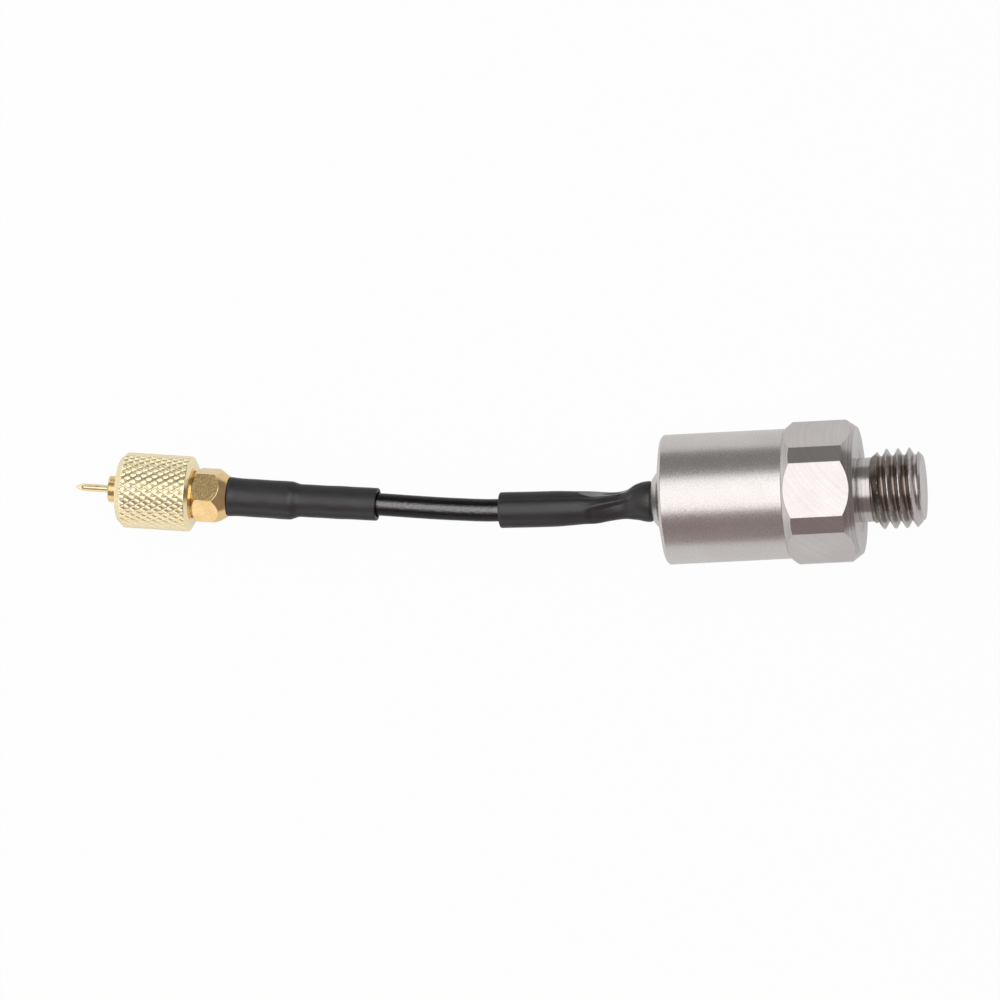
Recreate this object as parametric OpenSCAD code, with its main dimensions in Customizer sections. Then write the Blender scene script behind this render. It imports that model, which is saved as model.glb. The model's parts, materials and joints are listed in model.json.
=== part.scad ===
// Stud-mounted vibration sensor: a turned stainless can welded to a hexagonal base with an
// integral threaded stud, and a short coaxial pigtail that ends in a gold-plated screw-on plug.
// The stud axis is X, the stud points to +X, and the origin is the centre of the seat face.
// The sensor lies on one flat of its hexagon, and its stiff cable holds the plug just clear of that surface.

/* [Base] */
// Size across the six wide flats
hex_af = 10.5; // [9.5:0.05:12]
// Size across the six narrow faces that take off the corners
hex_corner_af = 11.26; // [10.9:0.02:12]
// Length from the can's edge to the seat face
hex_len = 5.7; // [4.5:0.05:8]
// Angle of the chamfer on the can's side, from the axis
hex_rear_chamfer_angle = 45; // [30:1:60]
// Angle of the chamfer on the seat's side, from the axis
hex_front_chamfer_angle = 35; // [25:1:50]
// Outer diameter of the flat seat face
seat_d = 10.1; // [8.5:0.05:10.3]
// Diameter of the shallow relief around the stud
seat_relief_d = 6.8; // [6.5:0.05:7.6]
// Depth of that relief
seat_relief_depth = 0.1; // [0.05:0.01:0.3]
// Major diameter of the stud's thread
stud_d = 6.35; // [5.6:0.05:6.5]
// Length of the stud from the seat face
stud_len = 5.1; // [4:0.1:8]
// Length of the stud's end chamfer
stud_chamfer = 0.55; // [0.3:0.05:0.8]
// Diameter of the plain neck under the thread
neck_d = 5.1; // [4.4:0.05:5.4]
// Length of the plain neck from the seat face
neck_len = 1.05; // [0.5:0.05:1.5]

/* [Can] */
// Outer diameter of the can
can_d = 10.3; // [9.4:0.05:10.4]
// Length of the can's straight side
can_len = 9.85; // [9.2:0.05:14]
// Wall of the can's side
can_wall = 0.6; // [0.4:0.05:0.8]
// Wall at the can's closed end, under its edge
can_end_wall = 0.45; // [0.35:0.05:0.8]
// Edge break around the closed end
can_edge = 0.2; // [0.1:0.05:0.4]
// Rise of the shallow cone on the closed end
cone_rise = 0.45; // [0.4:0.05:1]
// Diameter where the cone meets the collar
collar_d = 4.7; // [4:0.1:6]
// Length of the tapered collar
collar_len = 0.5; // [0.4:0.05:1]
// Diameter of the collar's outer end
collar_end_d = 3.36; // [3.2:0.02:3.8]
// Diameter of the cable spigot under the sleeve
spigot_d = 2.5; // [2.3:0.05:2.6]
// Length of the spigot beyond the collar
spigot_len = 1.3; // [0.8:0.05:1.6]
// Radial clearance between the base's pilot and the can
pilot_clear = 0.03; // [0.02:0.01:0.05]
// Length of the pilot inside the can
pilot_len = 1.4; // [1:0.05:1.6]

/* [Sensing stack] */
// Diameter of the centre post
post_d = 2; // [1.6:0.05:2.2]
// Length of the post beyond the preload nut
post_over = 0.25; // [0.1:0.05:0.3]
// Wall of the insulating sleeve on the post
post_sleeve_wall = 0.21; // [0.15:0.01:0.3]
// Radial clearance of everything on the post
post_clear = 0.04; // [0.02:0.01:0.06]
// Outer diameter of the ceramic washer under the stack
insulator_d = 7; // [6:0.1:7.4]
// Thickness of that washer
insulator_t = 0.4; // [0.3:0.05:0.6]
// Outer diameter of the crystal rings
crystal_d = 6.6; // [5.6:0.1:7]
// Thickness of each crystal ring
crystal_t = 0.8; // [0.5:0.05:0.9]
// Thickness of the electrode between the crystals
electrode_t = 0.15; // [0.1:0.01:0.25]
// Width of the electrode's tab
tab_w = 0.8; // [0.5:0.05:1.2]
// Outer diameter of the seismic mass
mass_d = 7.4; // [6.4:0.1:7.5]
// Thickness of the seismic mass
mass_t = 2; // [1.2:0.1:2.2]
// Outer diameter of the disc spring
spring_d = 4.4; // [4:0.1:5]
// Sheet thickness of the disc spring
spring_sheet = 0.2; // [0.15:0.01:0.25]
// Free cone of the disc spring
spring_cone = 0.1; // [0.05:0.01:0.15]
// Size across the preload nut's flats
preload_af = 3.6; // [3:0.1:4]
// Height of the preload nut
preload_t = 0.9; // [0.7:0.05:1]

/* [Amplifier] */
// Radial clearance of the board and its carrier in the can
board_clear = 0.08; // [0.05:0.01:0.12]
// Thickness of the circuit board
board_t = 0.5; // [0.4:0.05:0.6]
// Height of the carrier ring under the board
carrier_t = 0.9; // [0.75:0.05:1]
// Width of the carrier ring
carrier_w = 0.77; // [0.4:0.01:1]
// Diameter of the signal lead
lead_d = 0.26; // [0.2:0.01:0.3]
// Gap between the seismic mass and the signal lead
lead_gap = 0.14; // [0.1:0.01:0.2]
// Diameter of the ground lead
ground_d = 0.4; // [0.3:0.05:0.6]

/* [Cable and sleeves] */
// Outer diameter of the cable
cable_d = 1.8; // [1.6:0.05:1.9]
// Radial clearance around the cable
cable_clear = 0.06; // [0.04:0.01:0.1]
// Diameter of the cable's inner conductor
core_d = 0.5; // [0.3:0.05:0.6]
// Length of the sleeve at the sensor
sensor_sleeve_len = 12.3; // [10:0.1:13]
// Diameter of that sleeve along the cable
sensor_sleeve_d = 2.85; // [2.7:0.05:3.1]
// Diameter of its flared end over the spigot
sensor_flare_d = 3.18; // [3.1:0.02:3.3]
// How much narrower it is at the spigot's end than at the flare
flare_fall = 0.16; // [0.05:0.01:0.2]
// Diameter of its narrow waist
sensor_waist_d = 2.46; // [2.4:0.02:2.6]
// Distance from the spigot's end to the waist
waist_gap = 1.6; // [1.3:0.1:2]
// Diameter of its shoulder past the waist
sensor_shoulder_d = 2.7; // [2.5:0.02:2.8]
// Distance from the waist to the shoulder
shoulder_gap = 2; // [1:0.1:3]
// Distance from the shoulder to the full diameter
swell_len = 3; // [2:0.1:4]
// How far the waist and flare are pressed flat, as a share of the diameter
sleeve_press = 0.05; // [0:0.01:0.06]
// Turn of the pressed sides between the flare and the waist
press_turn = 120; // [0:5:180]
// Length of the sleeve at the plug
plug_sleeve_len = 12.1; // [10:0.1:13]
// Diameter of that sleeve over the ferrule
plug_sleeve_d = 3.08; // [2.96:0.02:3.3]
// Diameter of that sleeve along the cable
plug_sleeve_tail_d = 2.62; // [2.5:0.02:2.8]
// Length of the step between those diameters
plug_sleeve_step = 0.6; // [0.4:0.05:0.9]
// Edge break at the ends of both sleeves
sleeve_edge = 0.1; // [0.05:0.01:0.15]

/* [Plug] */
// Turn of the plug in plan, away from the sensor's axis
plug_yaw = 6.6; // [6.4:0.1:6.8]
// Dip of the plug towards its pin
plug_pitch = 4; // [3.8:0.1:4.2]
// Length of the crimp barrel under the ferrule
barrel_len = 4.4; // [3.5:0.1:5]
// Outer diameter of the crimp ferrule
ferrule_d = 2.5; // [2.4:0.02:2.6]
// Length of the crimp ferrule
ferrule_len = 5.1; // [4.8:0.1:5.4]
// Size across the plug's hexagon flats
plug_af = 3.9; // [3.6:0.05:4.2]
// Length of the plug's hexagon
plug_hex_len = 2.75; // [2:0.05:3]
// Diameter of the plug's hexagon where it meets the sleeve
plug_hex_end_d = 3.2; // [3.1:0.02:3.4]
// Length of the long chamfer behind the hexagon
plug_hex_taper = 1; // [0.5:0.05:1]
// Turn of the hexagon's flats from upright
plug_hex_turn = 46; // [0:1:59]
// Diameter of the shaft that the nut turns on
shaft_d = 3.66; // [3.5:0.02:3.8]
// Length of the shaft past the retaining ring's groove
shaft_lip = 0.35; // [0.2:0.05:0.8]
// Diameter of the nose
nose_d = 2.1; // [1.9:0.05:2.4]
// How far the nose stands out of the nut
nose_out = 0.9; // [0.4:0.05:1.4]
// Diameter of the bore for the insulator
nose_bore_d = 1.5; // [1.3:0.05:1.6]
// Radial clearance of the insulator and the pin
fit_clear = 0.02; // [0.01:0.01:0.04]
// How far the insulator sits back in the nose
insulator_back = 0.15; // [0.05:0.05:0.3]
// Diameter of the centre pin
pin_d = 0.6; // [0.5:0.02:0.7]
// Length of the pin beyond the nose
pin_len = 2.8; // [2:0.05:3.2]
// Length of the pin's point
pin_point = 0.55; // [0.3:0.05:0.8]
// Diameter of the pin's blunt tip
pin_tip_d = 0.1; // [0.05:0.01:0.2]
// Length of the pin behind its insulator
pin_tail = 1.35; // [0.8:0.05:2]

/* [Coupling nut] */
// Diameter over the knurl
nut_d = 6; // [5.8:0.02:6.4]
// Length of the nut
nut_len = 6; // [5.8:0.05:7]
// Depth of the plain rim below the knurl
nut_rim_step = 0.05; // [0.02:0.01:0.1]
// Length of the plain rim
nut_rim_len = 0.05; // [0.05:0.05:0.3]
// Diameter of the nut's rear face
nut_rear_d = 5; // [4.6:0.05:5.4]
// Length of the bevel from that face to the rim
nut_bevel_len = 0.25; // [0.2:0.05:0.6]
// Chamfer around the nut's front
nut_chamfer = 0.5; // [0.3:0.05:0.6]
// Number of knurl grooves that wind each way round the nut
knurl_starts = 36; // [24:1:40]
// Depth of the knurl
knurl_depth = 0.1; // [0.1:0.01:0.25]
// Length of one knurl diamond along the nut
knurl_rise = 0.88; // [0.6:0.02:1.2]
// Length over which the knurl runs out at the rim
knurl_lead = 0.05; // [0.05:0.01:0.2]
// Chamfer inside the nut's mouth
nut_mouth = 0.2; // [0.1:0.05:0.3]
// Bore at the thread's crests
nut_thread_d = 4.14; // [4.06:0.02:4.3]
// Radial running clearance of the nut on the shaft
nut_clear = 0.05; // [0.03:0.01:0.08]
// Thickness of the nut's rear wall
nut_wall = 1.4; // [1:0.05:1.8]
// End play between the nut and the hexagon
nut_play = 0.1; // [0.05:0.01:0.2]
// Thickness of the retaining ring
ring_t = 0.3; // [0.2:0.02:0.4]
// Section width of the retaining ring
ring_w = 0.5; // [0.4:0.02:0.6]
// Opening in the retaining ring
ring_gap = 0.7; // [0.4:0.05:1.2]

/* [Hidden] */
$fn = 64;
// A length that carries a cut past the face it opens
over = 0.5;
// Distance from the axis to a vertex of the base's twelve-sided section
hex_half = hex_af / 2;
hex_vertex_y = (hex_corner_af / 2 - hex_half * cos(30)) / sin(30);
hex_vertex_r = norm([hex_half, hex_vertex_y]);

// Stations along the stud axis
joint_x = -hex_len;
edge_x = joint_x - can_len;
cavity_x = edge_x + can_end_wall;
cone_x = edge_x - cone_rise;
collar_x = cone_x - collar_len;
spigot_x = collar_x - spigot_len;
pilot_x = joint_x - pilot_len;
insulator_x = pilot_x - insulator_t;
lower_x = insulator_x - crystal_t;
electrode_x = lower_x - electrode_t;
upper_x = electrode_x - crystal_t;
mass_x = upper_x - mass_t;
spring_x = mass_x - spring_sheet - spring_cone;
preload_x = spring_x - preload_t;
post_x = preload_x - post_over;
carrier_x = cavity_x + carrier_t;
board_x = carrier_x + board_t;

// Radii that mating pieces share
can_bore_r = can_d / 2 - can_wall;
post_r = post_d / 2;
post_sleeve_r = post_r + post_clear + post_sleeve_wall;
stack_bore_r = post_sleeve_r + post_clear;
lead_r = mass_d / 2 + lead_gap + lead_d / 2;
tab_r = lead_r + lead_d;
waist_s = spigot_len + waist_gap;
shoulder_s = waist_s + shoulder_gap;
swell_s = shoulder_s + swell_len;
// Length over which a sleeve's bore narrows from what it covers to the cable
bore_lead = 0.5;
board_r = can_bore_r - board_clear;
cable_bore_r = cable_d / 2 + cable_clear;

// Centre line of the cable from inside the spigot to the plug's crimp barrel, measured from the
// collar's end: straight out of the spigot, a slack bow to one side, then a steady dip
route = [
    [1.05, 0, 0], [0, 0, 0], [-1.2, 0, 0], [-2.6, -0.04, 0], [-4, -0.12, -0.02], [-5.4, -0.19, -0.04],
    [-7.4, -0.25, -0.09], [-9.4, -0.26, -0.15], [-11.4, -0.22, -0.22], [-13.4, -0.13, -0.31],
    [-15.4, 0, -0.4], [-17.4, 0.17, -0.5], [-19.4, 0.37, -0.6], [-21.4, 0.59, -0.7],
    [-23.4, 0.81, -0.81], [-25.4, 1.04, -0.93], [-27.4, 1.27, -1.05], [-29.8, 1.55, -1.21],
];
route_end = route[len(route) - 1];
plug_axis = [-cos(plug_pitch) * cos(plug_yaw), cos(plug_pitch) * sin(plug_yaw), -sin(plug_pitch)];
cable_sides = 8;

// Stations along the plug's axis, from the back of its hexagon towards the pin
nut_z = plug_hex_len + nut_play;
nut_front_z = nut_z + nut_len;
groove_z = nut_z + nut_wall;
groove_w = ring_t + 2 * nut_play;
shaft_z = groove_z + groove_w + shaft_lip;
nose_z = nut_front_z + nose_out;
nose_bore_z = plug_hex_len + nut_play;
pin_tip_z = nose_z + pin_len;
pin_rear_z = nose_bore_z - pin_tail;
shaft_r = shaft_d / 2;
nut_bore_r = shaft_r + nut_clear;
nut_groove_r = nut_bore_r + ring_w / 2;
ring_out_r = nut_groove_r - nut_clear;
ring_in_r = ring_out_r - ring_w;
core_bore_r = core_d / 2 + 2 * cable_clear;

// A solid turned about the stud axis from points of [station, radius]
module turned(points) {
    rotate([0, 90, 0])
        rotate_extrude()
            polygon([for (p = points) [p[1], p[0]]]);
}

// A ring about the stud axis between two stations
module ring_x(x0, x1, outer_r, inner_r) {
    turned([[x0, inner_r], [x1, inner_r], [x1, outer_r], [x0, outer_r]]);
}

// A hexagonal bar about the stand-up axis, with flats facing the side, turned by an angle
module hex_bar(af, z0, z1, turn) {
    translate([0, 0, z0])
        rotate(turn)
            cylinder(d = af / cos(30), h = z1 - z0, $fn = 6);
}

// Puts a piece that stands on Z in the plug's place, with Z towards the pin
module plug_place() {
    translate([collar_x, 0, 0] + route_end + barrel_len * plug_axis)
        rotate([0, 0, -plug_yaw])
            rotate([0, -90 - plug_pitch, 0])
                children();
}

// A solid turned about the plug's axis from points of [station, radius]
module plug_turned(points) {
    rotate_extrude()
        polygon([for (p = points) [p[1], p[0]]]);
}

// A closed ring of points about a centre line point, square to a direction
function unit(v) = v / norm(v);
function around(p, t, r, n) =
    let (side = unit(cross(t, [0, 0, 1])), up = cross(side, t))
    [for (i = [0:n - 1]) p + r * (cos(360 * i / n) * side + sin(360 * i / n) * up)];

// Faces of a tube of m rings of n points, with flat ends
function tube_sides(m, n) = [
    for (j = [0:m - 2], i = [0:n - 1])
        [j * n + i, j * n + (i + 1) % n, (j + 1) * n + (i + 1) % n, (j + 1) * n + i]
];

// Hexagonal base: a bar turned at both ends, with the pilot, the post and the stud in one piece
module base() {
    color([0.72, 0.7, 0.69])
    difference() {
        union() {
            intersection() {
                rotate([0, 90, 0])
                    hex_bar(hex_af, joint_x, 0, 30);
                rotate([0, 90, 0])
                    hex_bar(hex_corner_af, joint_x, 0, 0);
                turned([
                    [joint_x, 0], [joint_x, can_d / 2],
                    [joint_x + (hex_vertex_r - can_d / 2) / tan(hex_rear_chamfer_angle), hex_vertex_r],
                    [-(hex_vertex_r - seat_d / 2) / tan(hex_front_chamfer_angle), hex_vertex_r],
                    [0, seat_d / 2], [0, 0],
                ]);
            }
            turned([
                [post_x, 0], [post_x, post_r], [pilot_x, post_r], [pilot_x, can_bore_r - pilot_clear],
                [joint_x + over, can_bore_r - pilot_clear], [joint_x + over, 0],
            ]);
            turned([
                [-over, 0], [-over, neck_d / 2], [neck_len, neck_d / 2], [neck_len, stud_d / 2],
                [stud_len - stud_chamfer, stud_d / 2], [stud_len, stud_d / 2 - stud_chamfer], [stud_len, 0],
            ]);
        }
        ring_x(-seat_relief_depth, neck_len / 2, seat_relief_d / 2, neck_d / 2);
    }
}

// Can: turned in one piece, with a shallow cone, a collar and the cable spigot at its closed end
module can() {
    color([0.76, 0.75, 0.74])
    turned([
        [joint_x, can_bore_r], [joint_x, can_d / 2], [edge_x + can_edge, can_d / 2],
        [edge_x, can_d / 2 - can_edge], [cone_x, collar_d / 2], [collar_x, collar_end_d / 2],
        [collar_x, spigot_d / 2], [spigot_x, spigot_d / 2], [spigot_x, cable_bore_r],
        [cavity_x, cable_bore_r], [cavity_x, can_bore_r],
    ]);
}

// Ceramic washer between the base and the stack
module base_insulator() {
    color([0.93, 0.91, 0.86])
    ring_x(insulator_x, pilot_x, insulator_d / 2, stack_bore_r);
}

// Sleeve that keeps the stack off the post
module post_sleeve() {
    color([0.95, 0.95, 0.95])
    ring_x(mass_x, pilot_x, post_sleeve_r, post_r + post_clear);
}

module lower_crystal() {
    color([0.72, 0.66, 0.52])
    ring_x(lower_x, insulator_x, crystal_d / 2, stack_bore_r);
}

// Electrode disc with a tab that takes the signal lead
module electrode() {
    color([0.85, 0.7, 0.4])
    difference() {
        union() {
            ring_x(electrode_x, lower_x, crystal_d / 2, stack_bore_r);
            translate([electrode_x, -tab_w / 2, stack_bore_r])
                cube([electrode_t, tab_w, tab_r - stack_bore_r]);
        }
        ring_x(electrode_x - over, lower_x + over, stack_bore_r, 0);
    }
}

module upper_crystal() {
    color([0.72, 0.66, 0.52])
    ring_x(upper_x, electrode_x, crystal_d / 2, stack_bore_r);
}

module seismic_mass() {
    color([0.45, 0.45, 0.47])
    ring_x(mass_x, upper_x, mass_d / 2, stack_bore_r);
}

// Disc spring, resting on the mass at its rim and under the nut at its hole
module spring_washer() {
    color([0.6, 0.62, 0.66])
    turned([
        [mass_x - spring_cone, post_r + post_clear], [mass_x, spring_d / 2],
        [mass_x - spring_sheet, spring_d / 2], [spring_x, post_r + post_clear],
    ]);
}

// Nut that clamps the stack on the post
module preload_nut() {
    color([0.66, 0.66, 0.68])
    rotate([0, 90, 0])
        difference() {
            hex_bar(preload_af, preload_x, spring_x, 0);
            translate([0, 0, preload_x - over])
                cylinder(r = post_r + post_clear, h = preload_t + 2 * over);
        }
}

// Insulating ring that stands the board off the can's end
module board_carrier() {
    color([0.16, 0.16, 0.17])
    ring_x(cavity_x, carrier_x, board_r, board_r - carrier_w);
}

module circuit_board() {
    color([0.12, 0.4, 0.22])
    ring_x(carrier_x, board_x, board_r, 0);
}

// Amplifier chip and its small parts, on the board's outer face
module board_components() {
    chip = [0.55, 1.5, 2];
    small = [0.4, 0.6, 1];
    small_pitch = 1.5;
    color([0.1, 0.1, 0.11]) {
        translate([carrier_x - chip[0], core_d, -chip[2] / 2])
            cube(chip);
        for (row = [-1:1])
            translate([carrier_x - small[0], -core_d - 2 * small[1], row * small_pitch - small[2] / 2])
                cube(small);
    }
}

// Wire from the electrode's tab to the board
module signal_lead() {
    color([0.8, 0.4, 0.2])
    translate([board_x, 0, lead_r])
        rotate([0, 90, 0])
            cylinder(d = lead_d, h = electrode_x - board_x);
}

// Pin from the post to the board
module ground_lead() {
    color([0.8, 0.4, 0.2])
    ring_x(board_x, post_x, ground_d / 2, 0);
}

// Bared inner conductor from the cable's end to the board
module cable_core() {
    color([0.8, 0.4, 0.2])
    ring_x(collar_x + route[0][0], carrier_x, core_d / 2, 0);
}

// Coaxial cable, swept along the route
module cable() {
    last = len(route) - 1;
    rings = [
        for (i = [0:last])
            let (ahead = i == last ? plug_axis : route[i + 1] - route[max(i - 1, 0)])
            around([collar_x, 0, 0] + route[i], unit(ahead), cable_d / 2, cable_sides)
    ];
    points = [for (ring = rings, p = ring) p];
    ends = [
        [for (i = [cable_sides - 1:-1:0]) i],
        [for (i = [0:cable_sides - 1]) last * cable_sides + i],
    ];
    color([0.07, 0.07, 0.08])
    polyhedron(points, concat(tube_sides(last + 1, cable_sides), ends));
}

// Shrunk sleeve at the sensor: its bore follows the cable and the spigot, and its outside
// narrows to a waist, opens to a flare over the spigot and is pressed flat with a twist there
module sensor_sleeve() {
    sides = 24;
    rings = 25;
    wide_bore = spigot_d / 2 + cable_clear;
    slim_bore = cable_bore_r + cable_clear;
    outline = [
        [0, sensor_flare_d / 2], [spigot_len, (sensor_flare_d - flare_fall) / 2],
        [waist_s, sensor_waist_d / 2], [shoulder_s, sensor_shoulder_d / 2],
        [swell_s, sensor_sleeve_d / 2], [sensor_sleeve_len - sleeve_edge, sensor_sleeve_d / 2],
        [sensor_sleeve_len, sensor_sleeve_d / 2 - sleeve_edge],
    ];
    bore = [
        [0, wide_bore], [waist_s - 2 * bore_lead, wide_bore], [waist_s - bore_lead, slim_bore],
        [sensor_sleeve_len, slim_bore],
    ];
    press = [[0, sleeve_press], [shoulder_s, sleeve_press], [swell_s, 0], [sensor_sleeve_len, 0]];
    stations = concat(
        [for (i = [0:rings - 2]) i * (sensor_sleeve_len - sleeve_edge) / (rings - 2)], [sensor_sleeve_len]);
    middle_y = [for (p = route) [p[0], p[1]]];
    middle_z = [for (p = route) [p[0], p[2]]];
    function middle(s) = [collar_x - s, lookup(-s, middle_y), lookup(-s, middle_z)];
    function flat_ring(s) =
        let (r = lookup(s, outline), e = lookup(s, press), turn = press_turn * s / waist_s)
        [for (i = [0:sides - 1]) let (a = 360 * i / sides)
            middle(s) + r * (1 + e * (cos(2 * (a - turn)) - 1) / 2) * [0, -cos(a), sin(a)]];
    function bore_ring(s) =
        [for (i = [0:sides - 1]) let (a = 360 * i / sides)
            middle(s) + lookup(s, bore) / cos(180 / sides) * [0, -cos(a), sin(a)]];
    outer = [for (s = stations, p = flat_ring(s)) p];
    inner = [for (s = stations, p = bore_ring(s)) p];
    skip = rings * sides;
    last = (rings - 1) * sides;
    walls = concat(
        tube_sides(rings, sides),
        [for (f = tube_sides(rings, sides)) [for (k = [3:-1:0]) f[k] + skip]],
        [for (i = [0:sides - 1]) let (j = (i + 1) % sides) [i, i + skip, j + skip, j]],
        [for (i = [0:sides - 1]) let (j = (i + 1) % sides)
            [last + i, last + j, last + j + skip, last + i + skip]]
    );
    color([0.17, 0.17, 0.18])
    polyhedron(concat(outer, inner), walls);
}

// Shrunk sleeve at the plug, stepped where it runs off the ferrule
module plug_sleeve() {
    step_z = -ferrule_len - cable_clear;
    ferrule_bore = ferrule_d / 2 + cable_clear;
    tail_bore = cable_bore_r + cable_clear;
    color([0.17, 0.17, 0.18])
    plug_place()
        plug_turned([
            [0, ferrule_bore], [0, plug_sleeve_d / 2 - sleeve_edge], [-sleeve_edge, plug_sleeve_d / 2],
            [step_z, plug_sleeve_d / 2], [step_z - plug_sleeve_step, plug_sleeve_tail_d / 2],
            [-plug_sleeve_len + sleeve_edge, plug_sleeve_tail_d / 2],
            [-plug_sleeve_len, plug_sleeve_tail_d / 2 - sleeve_edge],
            [-plug_sleeve_len, tail_bore], [step_z - plug_sleeve_step, tail_bore],
            [step_z, ferrule_bore],
        ]);
}

// Ferrule that crimps the cable's braid on the barrel
module crimp_ferrule() {
    color([0.8, 0.66, 0.3])
    plug_place()
        translate([0, 0, -ferrule_len])
            difference() {
                cylinder(d = ferrule_d, h = ferrule_len);
                translate([0, 0, -over])
                    cylinder(r = cable_bore_r, h = ferrule_len + 2 * over);
            }
}

// Plug body: crimp barrel, hexagon, the shaft that carries the nut, and the nose, in one piece
module plug_body() {
    corner_r = plug_af / cos(30) / 2;
    front_chamfer = corner_r - plug_af / 2;
    color([0.93, 0.78, 0.42])
    plug_place()
        difference() {
            union() {
                intersection() {
                    hex_bar(plug_af, 0, plug_hex_len, plug_hex_turn);
                    plug_turned([
                        [0, 0], [0, plug_hex_end_d / 2], [plug_hex_taper, corner_r],
                        [plug_hex_len - front_chamfer, corner_r],
                        [plug_hex_len, plug_af / 2], [plug_hex_len, 0],
                    ]);
                }
                plug_turned([[-barrel_len, 0], [-barrel_len, cable_d / 2], [over, cable_d / 2], [over, 0]]);
                plug_turned([
                    [plug_hex_len - over, 0], [plug_hex_len - over, shaft_r],
                    [groove_z + nut_play / 2, shaft_r], [groove_z + nut_play / 2, ring_in_r - fit_clear],
                    [groove_z + groove_w - nut_play / 2, ring_in_r - fit_clear],
                    [groove_z + groove_w - nut_play / 2, shaft_r], [shaft_z, shaft_r],
                    [shaft_z, nose_d / 2], [nose_z, nose_d / 2], [nose_z, 0],
                ]);
            }
            plug_turned([
                [-barrel_len - over, 0], [-barrel_len - over, core_bore_r], [nose_bore_z, core_bore_r],
                [nose_bore_z, nose_bore_d / 2], [nose_z + over, nose_bore_d / 2], [nose_z + over, 0],
            ]);
        }
}

// Insulator that carries the centre pin in the body
module plug_insulator() {
    color([0.96, 0.96, 0.95])
    plug_place()
        plug_turned([
            [nose_bore_z, pin_d / 2 + fit_clear], [nose_bore_z, nose_bore_d / 2 - fit_clear],
            [nose_z - insulator_back, nose_bore_d / 2 - fit_clear],
            [nose_z - insulator_back, pin_d / 2 + fit_clear],
        ]);
}

// Inner conductor from the cable's end to the pin
module plug_core() {
    color([0.8, 0.4, 0.2])
    plug_place()
        translate([0, 0, -barrel_len])
            cylinder(d = core_d, h = barrel_len + pin_rear_z);
}

// Centre pin with a pointed end
module centre_pin() {
    color([0.93, 0.78, 0.42])
    plug_place()
        plug_turned([
            [pin_rear_z, 0], [pin_rear_z, pin_d / 2], [pin_tip_z - pin_point, pin_d / 2],
            [pin_tip_z, pin_tip_d / 2], [pin_tip_z, 0],
        ]);
}

// Split ring in the shaft's groove that keeps the nut on the body
module retaining_ring() {
    color([0.75, 0.75, 0.77])
    plug_place()
        translate([0, 0, groove_z + nut_play])
            difference() {
                cylinder(r = ring_out_r, h = ring_t);
                translate([0, 0, -over])
                    cylinder(r = ring_in_r, h = ring_t + 2 * over);
                translate([0, -ring_gap / 2, -over])
                    cube([ring_out_r + over, ring_gap, ring_t + 2 * over]);
            }
}

// Blank of the coupling nut, with a diamond knurl: points stand alternately on the knurl's peaks and
// at the crossings of its grooves, and each cell is folded along the groove that crosses it
module knurled_blank() {
    rim_r = nut_d / 2 - nut_rim_step;
    rim_z = nut_z + nut_bevel_len + nut_rim_len;
    knurl_z = rim_z + knurl_lead;
    knurl_end_z = nut_front_z - nut_chamfer;
    sides = 2 * knurl_starts;
    knurl_rows = round(2 * (knurl_end_z - knurl_z) / knurl_rise);
    plain = [[nut_z, nut_rear_d / 2], [nut_z + nut_bevel_len, rim_r], [rim_z, rim_r]];
    knurl = [for (j = [0:knurl_rows]) knurl_z + j * (knurl_end_z - knurl_z) / knurl_rows];
    front = [nut_front_z, nut_d / 2 - nut_chamfer];
    function ring(z, r) = [for (i = [0:sides - 1]) [r * cos(360 * i / sides), r * sin(360 * i / sides), z]];
    function knurl_ring(z, j) = [
        for (i = [0:sides - 1])
            let (a = 360 * i / sides, r = nut_d / 2 - ((i + j) % 2 == 0 ? knurl_depth : 0))
            [r * cos(a), r * sin(a), z]
    ];
    rings = concat(
        [for (p = plain) ring(p[0], p[1])],
        [for (j = [0:knurl_rows]) knurl_ring(knurl[j], j)],
        [ring(front[0], front[1])]
    );
    last = len(rings) - 1;
    cells = [
        for (j = [0:last - 1], i = [0:sides - 1])
            let (a = j * sides + i, b = j * sides + (i + 1) % sides, c = b + sides, d = a + sides)
            each (i + j + len(plain)) % 2 == 0 ? [[a, c, b], [a, d, c]] : [[a, d, b], [b, d, c]]
    ];
    ends = [[for (i = [0:sides - 1]) i], [for (i = [sides - 1:-1:0]) last * sides + i]];
    polyhedron([for (row = rings, p = row) p], concat(cells, ends));
}

// Knurled nut that turns on the shaft and screws on the socket
module coupling_nut() {
    color([0.93, 0.8, 0.45])
    plug_place()
        difference() {
            knurled_blank();
            plug_turned([
                [nut_z - over, 0], [nut_z - over, nut_bore_r], [groove_z, nut_bore_r],
                [groove_z, nut_groove_r], [groove_z + groove_w, nut_groove_r],
                [groove_z + groove_w, nut_thread_d / 2],
                [nut_front_z - nut_mouth, nut_thread_d / 2], [nut_front_z, nut_thread_d / 2 + nut_mouth],
                [nut_front_z + over, nut_thread_d / 2 + nut_mouth + over], [nut_front_z + over, 0],
            ]);
        }
}

base();
can();
base_insulator();
post_sleeve();
lower_crystal();
electrode();
upper_crystal();
seismic_mass();
spring_washer();
preload_nut();
board_carrier();
circuit_board();
board_components();
signal_lead();
ground_lead();
cable_core();
cable();
sensor_sleeve();
plug_sleeve();
crimp_ferrule();
plug_body();
plug_insulator();
plug_core();
centre_pin();
retaining_ring();
coupling_nut();
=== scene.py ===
import json

import bpy
import numpy as np
from mathutils import Matrix, Vector


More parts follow.
